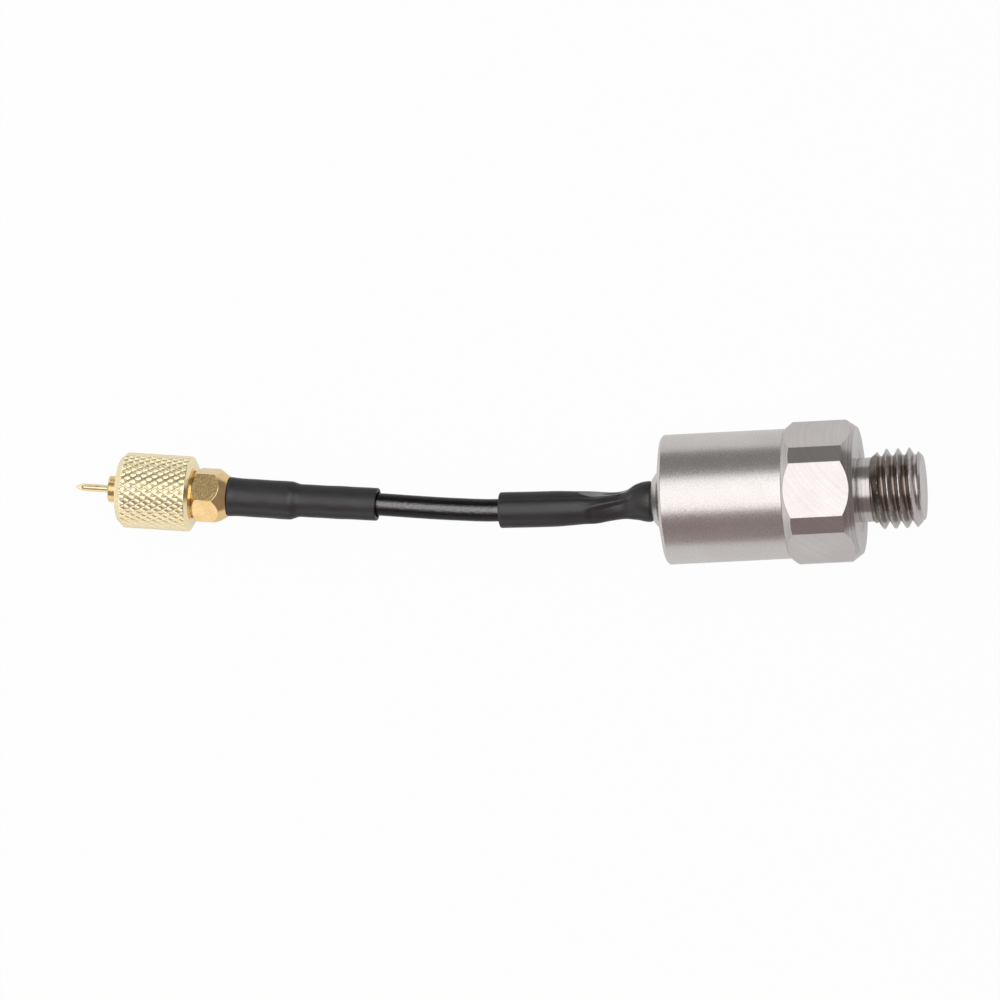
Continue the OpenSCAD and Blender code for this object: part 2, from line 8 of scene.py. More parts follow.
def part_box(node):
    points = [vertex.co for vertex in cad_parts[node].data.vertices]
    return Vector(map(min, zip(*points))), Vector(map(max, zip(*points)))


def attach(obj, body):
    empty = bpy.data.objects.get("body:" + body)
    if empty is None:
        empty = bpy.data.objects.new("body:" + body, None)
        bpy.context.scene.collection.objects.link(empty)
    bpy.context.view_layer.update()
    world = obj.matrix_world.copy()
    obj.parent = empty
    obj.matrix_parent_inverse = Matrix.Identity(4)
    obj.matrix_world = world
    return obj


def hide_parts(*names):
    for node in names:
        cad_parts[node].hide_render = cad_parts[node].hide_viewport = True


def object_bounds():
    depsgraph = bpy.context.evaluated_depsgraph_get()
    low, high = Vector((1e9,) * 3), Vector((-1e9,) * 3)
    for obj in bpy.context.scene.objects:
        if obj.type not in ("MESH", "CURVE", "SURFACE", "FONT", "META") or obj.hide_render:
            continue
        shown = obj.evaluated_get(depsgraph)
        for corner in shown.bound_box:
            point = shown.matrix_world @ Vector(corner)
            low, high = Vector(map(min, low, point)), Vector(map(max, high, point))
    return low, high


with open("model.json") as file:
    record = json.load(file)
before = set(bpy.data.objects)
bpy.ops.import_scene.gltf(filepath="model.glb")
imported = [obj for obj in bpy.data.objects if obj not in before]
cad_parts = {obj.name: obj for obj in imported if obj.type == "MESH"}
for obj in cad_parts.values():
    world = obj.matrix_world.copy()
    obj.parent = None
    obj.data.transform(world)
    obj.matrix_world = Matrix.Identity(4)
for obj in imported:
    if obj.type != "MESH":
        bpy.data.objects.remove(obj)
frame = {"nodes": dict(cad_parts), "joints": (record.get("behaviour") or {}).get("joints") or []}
cad_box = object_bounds()

# The base: a hexagonal bar of stainless steel with its corners taken off, turned in one piece with
# the pilot and post inside the can and, on the other side, the seat face, the neck and the threaded
# stud. The flats are milled, the chamfers, seat and neck are turned, and the thread is cut.
mm = 0.001
base_low, base_high = np.array(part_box("base")) / mm
can_low, can_high = np.array(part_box("can")) / mm
joint_x = can_high[0]
can_r = can_high[1]
flat_half = base_high[2]
corner_half = base_high[1]
stud_end = base_high[0]
stud_r = 3.175
neck_r = 2.55
neck_len = 1.05
neck_runout = 0.05
seat_r = 5.05
relief_r = 3.4
relief_depth = 0.1
relief_slope = 0.3
pilot_r = 4.52
pilot_x = joint_x - 1.4
post_r = 1.0
post_bevel = 0.15
rear_chamfer = np.tan(np.radians(38))
front_chamfer = np.tan(np.radians(35))
steps_per_face = 19


def skin(name, rows, sharp=25, loop=False, marks=None):
    """Covers a grid of points in millimetres, one ring of columns to a row, with a closed skin.

    Each cell is a quad, and the last column joins the first. With loop the last row joins the
    first, as round the wall of a tube; without it a fan to the middle of the first and of the last
    ring closes the ends. Edges bent by more than sharp degrees stay crisp. marks are values at the
    points, by attribute name."""
    m, n = rows.shape[:2]
    i, j = np.meshgrid(np.arange(m if loop else m - 1), np.arange(n), indexing="ij")
    here = i * n
    ahead = (i + 1) % m * n
    beside = (j + 1) % n
    quads = np.stack([here + j, here + beside, ahead + beside, ahead + j], axis=-1).reshape(-1, 4)
    points = rows.reshape(-1, 3)
    fans = np.empty((0, 3), int)
    if not loop:
        points = np.vstack([points, rows[0].mean(axis=0), rows[-1].mean(axis=0)])
        ring = np.arange(n)
        turn = (ring + 1) % n
        last = (m - 1) * n
        fans = np.vstack([np.stack([turn, ring, np.full(n, m * n)], axis=1),
                          np.stack([last + ring, last + turn, np.full(n, m * n + 1)], axis=1)])
    mesh = bpy.data.meshes.new(name)
    mesh.vertices.add(len(points))
    mesh.vertices.foreach_set("co", (points * mm).ravel())
    corners = np.concatenate([quads.ravel(), fans.ravel()])
    mesh.loops.add(len(corners))
    mesh.loops.foreach_set("vertex_index", corners)
    mesh.polygons.add(len(quads) + len(fans))
    starts = np.concatenate([4 * np.arange(len(quads)), 4 * len(quads) + 3 * np.arange(len(fans))])
    mesh.polygons.foreach_set("loop_start", starts)
    mesh.update(calc_edges=True)
    mesh.polygons.foreach_set("use_smooth", np.ones(len(mesh.polygons), bool))
    mesh.set_sharp_from_angle(angle=np.radians(sharp))
    for mark, values in (marks or {}).items():
        layer = mesh.attributes.new(mark, "FLOAT", "POINT")
        flat = values.ravel()
        layer.data.foreach_set("value", np.pad(flat, (0, len(points) - len(flat))))
    piece = bpy.data.objects.new(name, mesh)
    bpy.context.scene.collection.objects.link(piece)
    return piece


def eased(corners, columns=1, steps=4, runout=1.6):
    """Rows of (station, radius) along a profile whose corners are rounded.

    Each corner is (station, radius, setback). From a setback before it to a setback after it, an
    arc t²·ahead + (1-t)²·back takes its place. One more point at runout setbacks on each side keeps
    the stretches between corners straight. Station and radius may vary over the columns."""
    points = np.array([[np.broadcast_to(station, columns), np.broadcast_to(radius, columns)]
                       for station, radius, _ in corners])
    points = np.moveaxis(points, 1, -1)
    rows = []
    for k, (_, _, setback) in enumerate(corners):
        if not setback:
            rows.append(points[k])
            continue
        back = points[k - 1] - points[k]
        ahead = points[(k + 1) % len(points)] - points[k]
        back = setback * back / np.linalg.norm(back, axis=-1, keepdims=True)
        ahead = setback * ahead / np.linalg.norm(ahead, axis=-1, keepdims=True)
        t = np.linspace(0, 1, steps + 1)[:, None, None]
        rows.append(points[k] + runout * back)
        rows.extend(points[k] + (1 - t) ** 2 * back + t ** 2 * ahead)
        rows.append(points[k] + runout * ahead)
    return np.stack(rows)


def paired(stations, radii):
    """Rows of (station, radius) from stations and radii that fill one grid between them."""
    return np.stack(np.broadcast_arrays(stations, radii), axis=-1)


def turned(rows, phi, place):
    """Points of a turned form, for each row and each angle phi: origin + station·axis
    + radius·(cos phi·side + sin phi·up)."""
    origin, axis, side, up = place
    rows = np.broadcast_to(rows, (len(rows), len(phi), 2))
    out = np.cos(phi)[:, None] * side + np.sin(phi)[:, None] * up
    return origin + rows[..., :1] * axis + rows[..., 1:] * out


def gathered(breaks, count):
    """Angles round a bar that gather at its edges: half a cosine wave spreads count steps between
    each break and the next."""
    span = np.diff(np.append(breaks, breaks[0] + 2 * np.pi))
    t = (1 - np.cos(np.pi * np.arange(count) / count)) / 2
    return (breaks[:, None] + span[:, None] * t).ravel()


def bar_radius(phi, facing, halves, crispness=240):
    """Distance from the axis to a bar of flat faces: the inverse of the high-power norm of
    cos(phi - facing)/half over its faces, which leaves a hair of roundness on the edges."""
    reach = np.clip(np.cos(phi[:, None] - facing), 0, None) * halves.min() / halves
    return halves.min() * (reach ** crispness).sum(axis=1) ** (-1 / crispness)


stud_place = (np.zeros(3), *np.eye(3))
wide_faces = np.radians(90 + 60 * np.arange(6))
narrow_faces = wide_faces + np.radians(30)
flat_reach = (corner_half - flat_half * np.cos(np.pi / 6)) / np.sin(np.pi / 6)
flat_turn = np.arctan(flat_reach / flat_half)
flat_edges = np.stack([wide_faces - flat_turn, wide_faces + flat_turn], axis=1).ravel()
base_phi = gathered(flat_edges, steps_per_face)
bar_r = bar_radius(base_phi, np.concatenate([wide_faces, narrow_faces]),
                   np.repeat([flat_half, corner_half], 6))
body_rows = eased([
    (base_low[0], post_r - post_bevel, 0), (base_low[0] + post_bevel, post_r, 0.03),
    (pilot_x, post_r, 0), (pilot_x, pilot_r, 0.05), (joint_x, pilot_r, 0), (joint_x, can_r, 0),
    (joint_x + (bar_r - can_r) / rear_chamfer, bar_r, 0.03),
    ((seat_r - bar_r) / front_chamfer, bar_r, 0.04), (0, seat_r, 0.03),
    (0, relief_r, 0.02), (-relief_depth, relief_r - relief_slope, 0),
    (-relief_depth, neck_r, 0.04), (neck_len - neck_runout, neck_r, 0),
], len(base_phi))

thread_pitch = 0.907
thread_depth = 0.556
thread_crest = 0.082
thread_start = 0.47
thread_rings = 169
start_slope = 0.8
end_chamfer = 0.62
end_edge = 0.02
end_middle_r = 1.2
mill_reach = 0.002


def from_whole(turns):
    """Distance to the nearest whole number."""
    return 0.5 - np.abs(turns % 1 - 0.5)


def thread_radius(x, phi, soft=0.03):
    """Radius of the stud's right-hand thread: from the flat crest a 30 degree flank falls with the
    distance along the axis to the nearest crest, and a soft minimum of that fall and the thread's
    depth rounds the root. A slope at the neck and a chamfer at the end cut it off."""
    off = from_whole((x - thread_start) / thread_pitch - phi / (2 * np.pi)) * thread_pitch
    fall = np.clip(off - thread_crest / 2, 0, None) / np.tan(np.pi / 6)
    cut = stud_r + soft * np.log(np.exp(-fall / soft) + np.exp(-thread_depth / soft))
    cut = np.minimum(cut, neck_r + start_slope * (x - neck_len))
    return np.minimum(cut, stud_r - end_chamfer + stud_end - x)


thread_x = np.linspace(neck_len, stud_end, thread_rings)[:, None]
thread_rows = paired(thread_x, thread_radius(thread_x, base_phi))
end_rows = eased([(stud_end, stud_r - end_chamfer - end_edge, 0), (stud_end, end_middle_r, 0)],
                 len(base_phi))
base_rows = np.concatenate([body_rows, thread_rows, end_rows])
base_x, base_r = np.moveaxis(base_rows, -1, 0)
milled = (np.abs(base_r - bar_r) < mill_reach) & (base_x < 0)
on_thread = (base_x > neck_len) & (base_x < stud_end - end_chamfer)
root_depth = on_thread * np.clip((stud_r - base_r) / thread_depth, 0, 1)
hex_base = skin("hex_base", turned(base_rows, base_phi, stud_place),
                marks={"milled": milled.astype(float), "root": root_depth})

noise_span = {"From Min": 0.3, "From Max": 0.7}
rings_per_mm = 14
arcs_per_mm = 3.6
mill_centre = (5, 7, 4)
root_shade = (0.62, 0.56, 0.50)


def place_node(tree, kind, inputs=None, **settings):
    """Adds a shader node, with its settings, and sets or links its inputs by name or number."""
    node = tree.nodes.new(kind)
    for key, value in settings.items():
        setattr(node, key, value)
    for key, value in (inputs or {}).items():
        if isinstance(value, bpy.types.NodeSocket):
            tree.links.new(value, node.inputs[key])
        else:
            node.inputs[key].default_value = value
    return node


def mixed(tree, share, a, b):
    """Value that runs from a to b with the share, by the Mix node's sockets for values."""
    return place_node(tree, "ShaderNodeMix", {0: share, 2: a, 3: b}).outputs[0]


def mixed_colour(tree, share, a, b, blend="MIX"):
    """Colour that runs from a to b, or to their blend, by the Mix node's sockets for colours."""
    return place_node(tree, "ShaderNodeMix", {0: share, 6: a, 7: b}, data_type="RGBA",
                      blend_type=blend).outputs[2]


def in_millimetres(tree, position):
    """A position in metres, given in millimetres."""
    return place_node(tree, "ShaderNodeVectorMath", {0: position, "Scale": 1 / mm},
                      operation="SCALE").outputs[0]


def mark_value(tree, mark):
    """The value that a piece's skin carries at its points under the name of a mark."""
    return place_node(tree, "ShaderNodeAttribute", attribute_name=mark).outputs["Fac"]


def source(shader, label):
    """The socket that feeds an input of a shader so far."""
    return shader.inputs[label].links[0].from_socket


def open_group(name, inputs, outputs):
    """A new shader node group with inputs of the given types and outputs that are values. Gives the
    group, its input node and its output node."""
    group = bpy.data.node_groups.new(name, "ShaderNodeTree")
    for label, kind in inputs.items():
        group.interface.new_socket(label, in_out="INPUT", socket_type=kind)
    for label in outputs:
        group.interface.new_socket(label, in_out="OUTPUT", socket_type="NodeSocketFloat")
    return group, group.nodes.new("NodeGroupInput"), group.nodes.new("NodeGroupOutput")


def grain_group():
    """Node group of the grain in a finish: fine noise stretched by its counts per millimetre, and
    slow blotches, both spread to run from 0 to 1."""
    group, given, result = open_group(
        "surface_grain", {"Position": "NodeSocketVector", "Grains per mm": "NodeSocketVector",
                          "Blotches per mm": "NodeSocketFloat"}, ("Grain", "Blotch"))
    place = in_millimetres(group, given.outputs["Position"])
    fine = place_node(group, "ShaderNodeVectorMath",
                      {0: place, 1: given.outputs["Grains per mm"]}, operation="MULTIPLY")
    grain = place_node(group, "ShaderNodeTexNoise",
                       {"Vector": fine.outputs[0], "Scale": 1, "Detail": 3})
    blotch = place_node(group, "ShaderNodeTexNoise",
                        {"Vector": place, "Scale": given.outputs["Blotches per mm"], "Detail": 4})
    for noise, label in ((grain, "Grain"), (blotch, "Blotch")):
        spread = place_node(group, "ShaderNodeMapRange", {"Value": noise.outputs[0], **noise_span})
        group.links.new(spread.outputs[0], result.inputs[label])
    return group


surface_grain = grain_group()


def finish(name, tones, rough, grains, blotches, bump, metallic=1.0):
    """A material whose blotches run between two tones, and whose grain sets the roughness between
    two values and a fine bump of that height in millimetres. Gives the material, its tree and its
    shader."""
    made = bpy.data.materials.new(name)
    made.use_nodes = True
    tree = made.node_tree
    shader = tree.nodes["Principled BSDF"]
    shader.inputs["Metallic"].default_value = metallic
    where = tree.nodes.new("ShaderNodeTexCoord")
    grain = place_node(tree, "ShaderNodeGroup",
                       {"Position": where.outputs["Object"], "Grains per mm": grains,
                        "Blotches per mm": blotches}, node_tree=surface_grain)
    tone = mixed_colour(tree, grain.outputs["Blotch"], (*tones[0], 1), (*tones[1], 1))
    gloss = place_node(tree, "ShaderNodeMapRange",
                       {"Value": grain.outputs["Grain"], "To Min": rough[0], "To Max": rough[1]})
    relief = place_node(tree, "ShaderNodeBump",
                        {"Height": grain.outputs["Grain"], "Distance": bump * mm})
    tree.links.new(tone, shader.inputs["Base Color"])
    tree.links.new(gloss.outputs[0], shader.inputs["Roughness"])
    tree.links.new(relief.outputs[0], shader.inputs["Normal"])
    return made, tree, shader


def dress(piece, node, material, body="sensor"):
    """Gives a piece its material, and puts it on its body in the place of its CAD node, which it
    hides."""
    piece.data.materials.append(material)
    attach(piece, body)
    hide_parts(node)


def tool_group():
    """Node group of the tool's marks: rings follow the station and the distance from the X axis, as
    on a lathe, and arcs follow the distance from a point beside the bar, as under a face mill."""
    group, given, result = open_group("tool_marks", {"Position": "NodeSocketVector"},
                                      ("Rings", "Arcs"))
    place = in_millimetres(group, given.outputs["Position"])
    across = place_node(group, "ShaderNodeVectorMath", {0: place, 1: (0, 1, 1)},
                        operation="MULTIPLY")
    reach = place_node(group, "ShaderNodeVectorMath", {0: across.outputs[0]}, operation="LENGTH")
    parts = place_node(group, "ShaderNodeSeparateXYZ", {0: place})
    turned_at = place_node(group, "ShaderNodeCombineXYZ",
                           {"X": parts.outputs["X"], "Y": reach.outputs["Value"]})
    rings = place_node(group, "ShaderNodeTexNoise",
                       {"Vector": turned_at.outputs[0], "Scale": rings_per_mm, "Detail": 2})
    milled_at = place_node(group, "ShaderNodeVectorMath", {0: place, 1: mill_centre},
                           operation="DISTANCE")
    arcs = place_node(group, "ShaderNodeTexNoise",
                      {"W": milled_at.outputs["Value"], "Scale": arcs_per_mm, "Detail": 3},
                      noise_dimensions="1D")
    group.links.new(rings.outputs[0], result.inputs["Rings"])
    group.links.new(arcs.outputs[0], result.inputs["Arcs"])
    return group


tool_marks = tool_group()


def add_tool_marks(tree, shader, milled_share, depth, streaks):
    """Lays tool marks over a finish: arcs where it is milled, and rings elsewhere. They have a
    depth in millimetres, and rings and arcs take up to their streak's share of the tone."""
    where = tree.nodes.new("ShaderNodeTexCoord")
    marks = place_node(tree, "ShaderNodeGroup", {"Position": where.outputs["Object"]},
                       node_tree=tool_marks)
    height = mixed(tree, milled_share, marks.outputs["Rings"], marks.outputs["Arcs"])
    cut = place_node(tree, "ShaderNodeBump", {"Height": height, "Distance": depth * mm,
                                              "Normal": source(shader, "Normal")})
    tree.links.new(cut.outputs[0], shader.inputs["Normal"])
    darkest = mixed(tree, milled_share, 1 - streaks[0], 1 - streaks[1])
    kept = place_node(tree, "ShaderNodeMapRange",
                      {"Value": height, **noise_span, "To Min": darkest, "To Max": 1})
    streaked = place_node(tree, "ShaderNodeVectorMath",
                          {0: source(shader, "Base Color"), "Scale": kept.outputs[0]},
                          operation="SCALE")
    tree.links.new(streaked.outputs[0], shader.inputs["Base Color"])


base_steel, steel_tree, steel_shader = finish(
    "base_steel", ((0.59, 0.56, 0.55), (0.64, 0.615, 0.605)), rough=(0.17, 0.27),
    grains=(5, 5, 5), blotches=0.35, bump=0.0006)
add_tool_marks(steel_tree, steel_shader, mark_value(steel_tree, "milled"), depth=0.002,
               streaks=(0.34, 0.06))
# Painted shade: the steel's colour is multiplied towards root_shade, darker and browner, the deeper
# a point lies in the thread's roots.
painted_root_shade = mixed_colour(steel_tree, mark_value(steel_tree, "root"),
                       source(steel_shader, "Base Color"), (*root_shade, 1), blend="MULTIPLY")
steel_tree.links.new(painted_root_shade, steel_shader.inputs["Base Color"])
dress(hex_base, "base", base_steel)

# The sensing stack on the post: ceramic washer and sleeve, two piezo rings with the electrode
# between them, the heavy mass, the disc spring and the nut that clamps them. Turned, pressed and
# ground pieces, all inside the sealed can, so they keep their CAD forms.
piezo_look = (((0.44, 0.37, 0.25), (0.55, 0.48, 0.34)), (0.5, 0.7), (12, 12, 12), 0)
spring_tones = ((0.48, 0.49, 0.52), (0.58, 0.59, 0.61))


def finish_inside(table):
    """Gives hidden CAD nodes their finishes from rows of name, tones, roughness, grain and metal or
    not."""
    for node, (name, tones, rough, grains, metal) in table.items():
        material, *_ = finish(name, tones, rough, grains, blotches=0.6, bump=0.001, metallic=metal)
        frame["nodes"][node].data.materials.clear()
        frame["nodes"][node].data.materials.append(material)


finish_inside({
    "base_insulator": ("white_ceramic", ((0.80, 0.78, 0.72), (0.88, 0.86, 0.82)),
                       (0.35, 0.5), (9, 9, 9), 0),
    "post_sleeve": ("white_fluoroplastic", ((0.82, 0.82, 0.80), (0.9, 0.9, 0.88)),
                    (0.4, 0.5), (6, 6, 6), 0),
    "lower_crystal": ("piezo_ceramic", *piezo_look),
    "upper_crystal": ("piezo_ceramic_upper", *piezo_look),
    "electrode": ("gilt_electrode", ((0.85, 0.62, 0.25), (0.92, 0.70, 0.34)),
                  (0.2, 0.3), (20, 2, 2), 1),
    "seismic_mass": ("tungsten_alloy", ((0.22, 0.22, 0.24), (0.30, 0.30, 0.31)),
                     (0.3, 0.42), (18, 1, 1), 1),
    "spring_washer": ("spring_steel", spring_tones, (0.2, 0.3), (14, 3, 3), 1),
    "preload_nut": ("nut_steel", ((0.55, 0.54, 0.53), (0.64, 0.63, 0.62)),
                    (0.22, 0.34), (16, 2, 2), 1),
})

# The amplifier behind the stack: a moulded carrier ring, a round glass-fibre board with its parts,
# and the copper leads to the electrode, the post and the cable. It is soldered up before the can
# goes on.
copper_look = (((0.60, 0.28, 0.14), (0.70, 0.36, 0.2)), (0.2, 0.3), (3, 12, 12), 1)
finish_inside({
    "board_carrier": ("carrier_plastic", ((0.025, 0.025, 0.027), (0.04, 0.04, 0.042)),
                      (0.45, 0.6), (8, 8, 8), 0),
    "circuit_board": ("solder_mask", ((0.012, 0.10, 0.035), (0.03, 0.17, 0.06)),
                      (0.25, 0.4), (2, 9, 9), 0),
    "board_components": ("chip_plastic", ((0.02, 0.02, 0.022), (0.04, 0.04, 0.042)),
                         (0.4, 0.6), (10, 10, 10), 0),
    "signal_lead": ("lead_copper", *copper_look),
    "ground_lead": ("ground_copper", *copper_look),
    "cable_core": ("conductor_copper", *copper_look),
})

# The can: one turned stainless piece with a shallow cone, a tapered collar and the cable spigot at
# its closed end, bead-blasted to a satin and welded to the base round its open edge.
can_wall = 0.6
cavity_x = -15.1
edge_x = -15.55
edge_break = 0.2
cone_x = -16.0
cone_r = 2.35
collar_x = -16.5
collar_r = 1.68
spigot_r = 1.25
spigot_bore_r = 0.96
can_columns = 192


def round_angles(columns):
    """Angles at even steps round a full turn."""
    return np.linspace(0, 2 * np.pi, columns, endpoint=False)


can_rows = eased([
    (can_low[0], spigot_bore_r, 0), (can_low[0], spigot_r, 0.03), (collar_x, spigot_r, 0),
    (collar_x, collar_r, 0.05), (cone_x, cone_r, 0.06), (edge_x, can_r - edge_break, 0.05),
    (edge_x + edge_break, can_r, 0.05), (joint_x, can_r, 0.05), (joint_x, can_r - can_wall, 0),
    (cavity_x, can_r - can_wall, 0), (cavity_x, spigot_bore_r, 0),
])
steel_can = skin("steel_can", turned(can_rows, round_angles(can_columns), stud_place), loop=True)
can_steel, *_ = finish("can_steel", ((0.63, 0.605, 0.59), (0.675, 0.655, 0.64)),
                       rough=(0.24, 0.34), grains=(7, 7, 7), blotches=0.3, bump=0.0012)
dress(steel_can, "can", can_steel)

# The cable: a thin coaxial lead with a smooth black jacket, from the can's spigot in a slack bow to
# the plug's crimp barrel. The route's points, from the collar's end, are the CAD solid's, with a
# tenth or two of a millimetre more sag near the can and less near the plug.
cable_r = 0.9
cable_rings = 160
cable_columns = 40
cable_ior = 2.4
route = np.array([collar_x, 0, 0]) + np.array([
    [1.05, 0, 0], [0, 0, 0], [-1.2, -0.02, 0], [-1.9, -0.14, 0], [-2.6, -0.24, 0],
    [-4, -0.29, -0.02], [-5.4, -0.3, -0.04], [-7.4, -0.28, -0.09], [-9.4, -0.24, -0.15],
    [-11.4, -0.18, -0.22], [-13.4, -0.11, -0.31], [-15.4, 0.06, -0.4], [-17.4, 0.26, -0.5],
    [-19.4, 0.49, -0.6], [-21.4, 0.73, -0.7], [-23.4, 0.95, -0.81], [-25.4, 1.15, -0.93],
    [-27.4, 1.34, -1.05], [-29.8, 1.55, -1.21],
])
route_s = np.concatenate([[0], np.cumsum(np.linalg.norm(np.diff(route, axis=0), axis=1))])
route_s = route_s - route_s[1]


def squared(axis):
    """Axis, side and up, square to each other, with up as near to +Z as the axis lets it be."""
    axis = axis / np.linalg.norm(axis, axis=-1, keepdims=True)
    up = np.array([0, 0, 1]) - axis[..., 2:] * axis
    up = up / np.linalg.norm(up, axis=-1, keepdims=True)
    return axis, np.cross(up, axis), up


def along_route(s):
    """Centre line at distances s from the collar's end: the cubic Hermite curve through the route's
    points, whose slopes are those of the parabola through each point and its neighbours. Gives
    points, and axis, side and up."""
    slopes = np.gradient(route, route_s, axis=0)
    k = np.clip(np.searchsorted(route_s, s, side="right") - 1, 0, len(route_s) - 2)
    h = (route_s[k + 1] - route_s[k])[:, None]
    t = (s - route_s[k])[:, None] / h
    points = ((1 + 2 * t) * (1 - t) ** 2 * route[k] + t ** 2 * (3 - 2 * t) * route[k + 1]
              + h * t * (1 - t) ** 2 * slopes[k] - h * t ** 2 * (1 - t) * slopes[k + 1])
    return points, *squared(np.gradient(points, s, axis=0))


def swept(line, phi, radius):
    """Points of a tube: each station of a line carries a ring at radius·(cos phi·side
    + sin phi·up)."""
    points, _, side, up = (part[:, None] for part in line)
    out = np.cos(phi)[:, None] * side + np.sin(phi)[:, None] * up
    return points + radius[..., None] * out


def facing_shine(tree, facing, levels):
    """Specular level that goes from the first level to the second as the surface turns away,
    between two values of Layer Weight's Facing."""
    weight = place_node(tree, "ShaderNodeLayerWeight", {"Blend": 0.5})
    return place_node(tree, "ShaderNodeMapRange",
                      {"Value": weight.outputs["Facing"], "From Min": facing[0],
                       "From Max": facing[1], "To Min": levels[0], "To Max": levels[1]}).outputs[0]


cable_line = along_route(np.linspace(route_s[0], route_s[-1], cable_rings))
jacket = skin("cable_jacket", swept(cable_line, round_angles(cable_columns),
                                    np.full((cable_rings, cable_columns), cable_r)))
cable_black, cable_tree, cable_shader = finish(
    "cable_black", ((0.005, 0.005, 0.0055), (0.009, 0.008, 0.009)), rough=(0.12, 0.26),
    grains=(3, 9, 9), blotches=0.8, bump=0.01, metallic=0)
cable_shader.inputs["IOR"].default_value = cable_ior
cable_tree.links.new(facing_shine(cable_tree, facing=(0.03, 0.12), levels=(0.5, 0.05)),
                     cable_shader.inputs["Specular IOR Level"])
dress(jacket, "cable", cable_black)

# The sleeve at the sensor: black heat-shrink tube over the spigot and the cable. It was pinched and
# twisted while hot, so a flat is pressed into its far side, a fold winds from its flared end to the
# waist, and a faint crease runs on to its cut end.
sensor_sleeve_len = 12.3
sleeve_rings = 220
sleeve_phi = round_angles(180)
flare_r, flare_lip, lip_run = 1.56, 0.1, (0, 0.25)
waist_fall, waist_run = 0.43, (0.2, 2.7)
shoulder_rise, shoulder_run = 0.17, (2.8, 4.8)
full_rise, full_run = 0.125, (4.9, 8.2)
cut_ease, cut_run = 0.05, (sensor_sleeve_len - 0.07, sensor_sleeve_len)
press_turns = ([1.9, 2.8, 3.8, 4.8, 6.0], [80, 77, 74, 70, 66])
press_depths = ([0.6, 1.08, 1.36, 1.5, 1.9, 2.8, 3.8, 4.8, 6.2, 7.2],
                [1.6, 1.38, 1.3, 1.17, 1.04, 0.99, 1.0, 1.09, 1.38, 1.6])
press_edge, press_run, least_cos = 0.03, (1.5, 2.2), 0.3
fold_run = ((0.6, 1.8), (4.3, 5.8))
ridge_turns = ([0.3, 1.0, 1.9, 2.9, 3.9, 4.9, 5.6], [50, 38, 21, 17, 8, 0, -3])
ridge_height, ridge_width = 0.065, 8
furrow_turns = ([1.4, 2.4, 2.8, 3.4, 4.4, 5.4], [54, 47, 42, 36, 30, 28])
furrow_depth, furrow_width = 0.09, 7
valley_depth, valley_width, valley_run = 0.14, ((1, 22), (30, 80)), ((1.2, 2.4), (4.8, 5.5))
bump_height, bump_turn, bump_width, bump_s, bump_len = 0.03, -80, 25, 4.8, 0.5
sag_height, sag_turn, sag_run = 0.14, -90, (1.3, 2.7)
crease_depth, crease_turn, crease_width, crease_run = 0.04, 31, 6, (4.6, 5.8)
tube_bore_r = 1.02
grip_r, grip_run = 0.91, (8.0, 7.0)
spigot_fit_r = spigot_r + 0.04
spigot_len = collar_x - can_low[0]
spigot_step = (spigot_len + 0.15, spigot_len + 0.05)
shrink_ior = 1.7
pressed_level = 0.8
pressed_rough = 0.14


def rise(s, start, end):
    """Smooth step from 0 at start to 1 at end: 3t² - 2t³."""
    t = np.clip((s - start) / (end - start), 0, 1)
    return t * t * (3 - 2 * t)


def band(value, up, down):
    """Smooth step from 0 to 1 over the run up, and back to 0 over the run down."""
    return rise(value, *up) * (1 - rise(value, *down))


def hump(value, middle, width):
    """Bell of height 1: exp(-((value - middle)/width)²)."""
    return np.exp(-((value - middle) / width) ** 2)


def turn_from(turn, middle):
    """Turn from a middle, brought into the half turn on each side of it, in degrees."""
    return (turn - middle + 180) % 360 - 180


def softened(s, stations, values, spread=0.18, samples=7):
    """Straight lines through a table of values, averaged over a spread on both sides of s so that
    no kink is left."""
    offs = np.linspace(-spread, spread, samples)
    return np.mean([np.interp(s + off, stations, values) for off in offs], axis=0)


def sleeve_radius(s, phi):
    """Outer radius of the sensor's sleeve: flare, waist, shoulder and full size by smooth steps,
    cut by a flat, depth/cos(turn from it), on the far side. Then come a ridge along a turn that
    falls with s, a furrow on its far side, a valley on its near side, a bump low at the shoulder, a
    sag of the near side and a lengthwise crease, all bells or bands in turn and s. Turns are
    degrees from the top. Gives the share of the flat that shines too."""
    turn = np.degrees(phi) - 90
    plain = (flare_r - flare_lip * (1 - rise(s, *lip_run)) - waist_fall * rise(s, *waist_run)
             + shoulder_rise * rise(s, *shoulder_run) + full_rise * rise(s, *full_run)
             - cut_ease * rise(s, *cut_run))
    tilt = np.radians(turn - softened(s, *press_turns))
    flat = softened(s, *press_depths) / np.clip(np.cos(tilt), least_cos, None)
    pressed = rise(plain - flat, 0, press_edge) * rise(s, *press_run)
    off = turn_from(turn, np.interp(s, *ridge_turns))
    fade = band(s, *fold_run)
    ridge = ridge_height * hump(off, 0, ridge_width) * fade
    furrow = furrow_depth * hump(turn, np.interp(s, *furrow_turns), furrow_width) * fade
    valley = valley_depth * band(-off, *valley_width) * band(s, *valley_run)
    bump = (bump_height * hump(turn_from(turn, bump_turn), 0, bump_width)
            * hump(s, bump_s, bump_len))
    near = np.clip(np.cos(np.radians(turn - sag_turn)), 0, None)
    sag = sag_height * (1 - rise(s, *sag_run)) * near ** 2
    crease = crease_depth * hump(turn, crease_turn, crease_width) * rise(s, *crease_run)
    return np.minimum(plain, flat) + ridge - furrow - valley + bump + sag - crease, pressed


